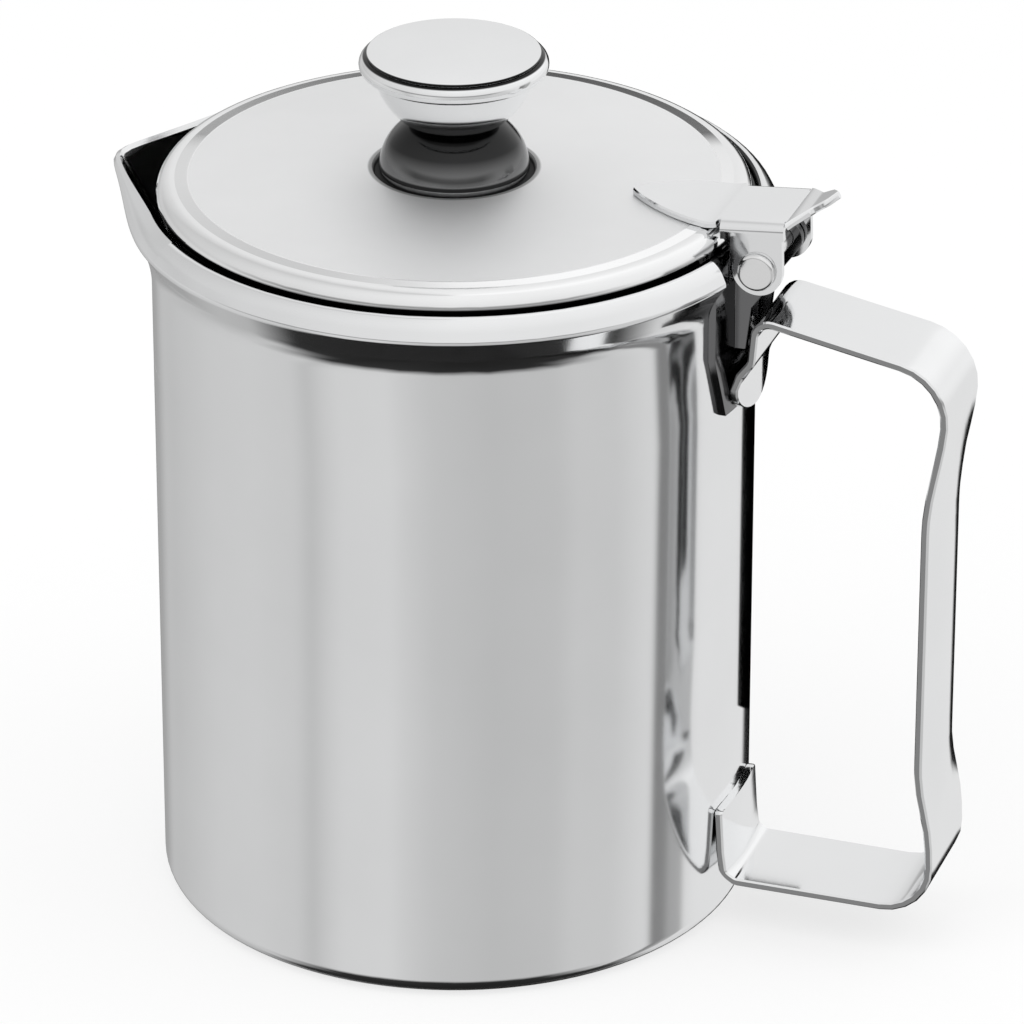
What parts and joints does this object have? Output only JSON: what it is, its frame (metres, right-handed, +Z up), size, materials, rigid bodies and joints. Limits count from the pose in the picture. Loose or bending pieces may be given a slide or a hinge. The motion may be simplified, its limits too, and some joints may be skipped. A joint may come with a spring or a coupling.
{
  "type": "hot milk jug",
  "caption": "Round polished steel hot milk jug with a drawn pouring spout, a hinged domed lid with a waisted knob and thumb lever, and a bent strap handle.",
  "frame": {"origin": "centre of the resting face under the base", "axes": "+Z up along the jug's axis, +X to the handle and hinge, -X to the pouring spout, Y across"},
  "size_m": [0.1328, 0.0966, 0.1347],
  "materials": {
    "body_steel": "polished stainless steel, mirror-like with fine marks",
    "handle_steel": "polished stainless steel strip",
    "lid_steel": "polished stainless steel, softly satin on the dome",
    "knob_steel": "polished stainless steel, spun",
    "hinge_steel": "polished stainless steel, bead-soft on the cheeks",
    "fixing_steel": "turned stainless steel"
  },
  "bodies": {
    "jug": {"body_shell": "body_steel", "handle_strap": "handle_steel", "hinge_bracket": "hinge_steel", "hinge_rivet": "fixing_steel"},
    "lid": {"lid_shell": "lid_steel", "thumb_lever": "handle_steel", "knob_cap": "knob_steel", "knob_bowl": "knob_steel", "knob_foot": "knob_steel", "knob_stud": "fixing_steel", "knob_washer": "fixing_steel", "knob_nut": "fixing_steel"}
  },
  "joints": [
    {"name": "lid_hinge", "type": "hinge", "parent": "jug", "child": "lid", "pos_m": [0.0493, 0, 0.109], "axis": [0, 1, 0], "range_deg": [0, 75]}
  ]
}
